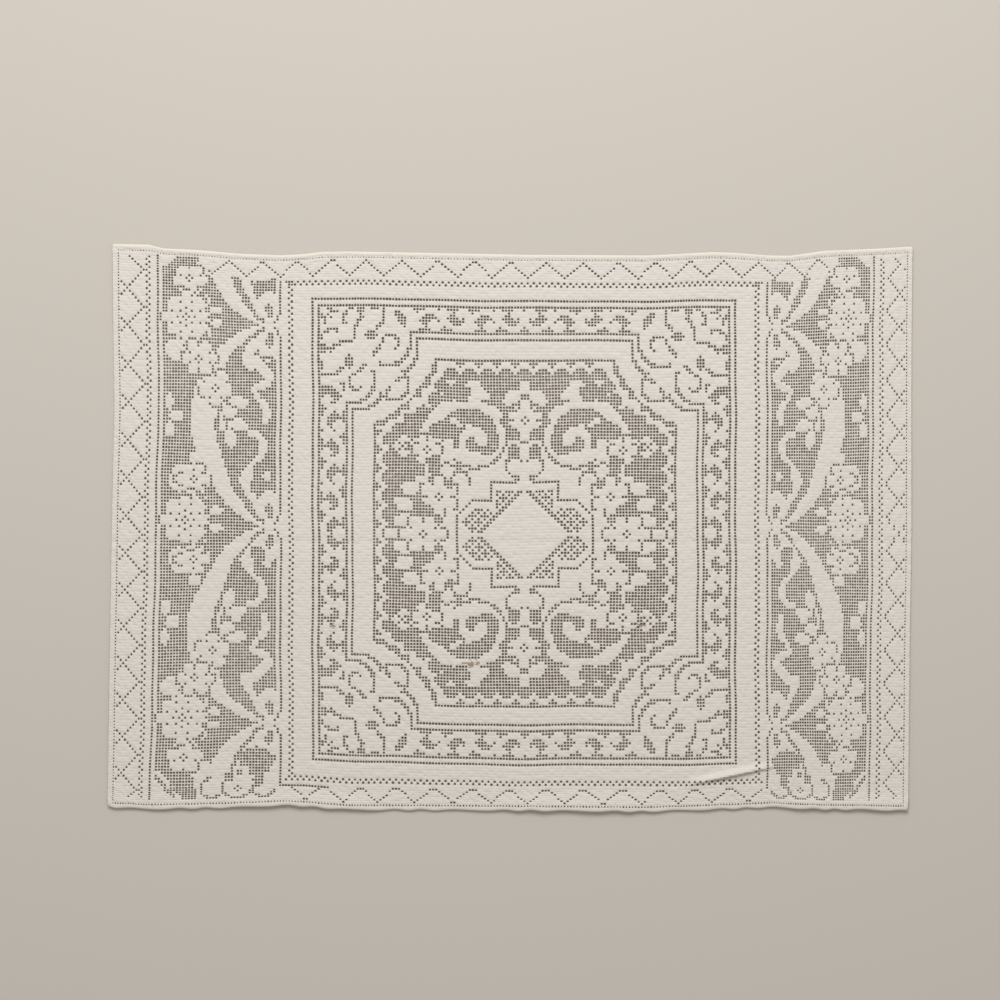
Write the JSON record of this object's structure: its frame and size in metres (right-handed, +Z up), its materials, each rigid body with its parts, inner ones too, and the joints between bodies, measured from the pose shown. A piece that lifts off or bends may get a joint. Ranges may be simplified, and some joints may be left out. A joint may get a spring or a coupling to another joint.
{
  "type": "filet lace tablecloth",
  "caption": "Rectangular cream filet lace cloth laid flat, with a framed octagon of flowers and scrolls, leaf corners, ribbon and bow side panels, zigzag edgings and rolled hems.",
  "frame": {"origin": "under the middle of the cloth's bounding box, on the surface it lies on", "axes": "+X along the cloth's long side, +Y towards the far long edge, +Z up out of the cloth's face"},
  "size_m": [0.6032, 0.4256, 0.0037],
  "materials": {
    "lace": "matte cream cotton, fine ribs"
  },
  "bodies": {
    "root": {"lace_cloth": "lace"}
  },
  "joints": []
}
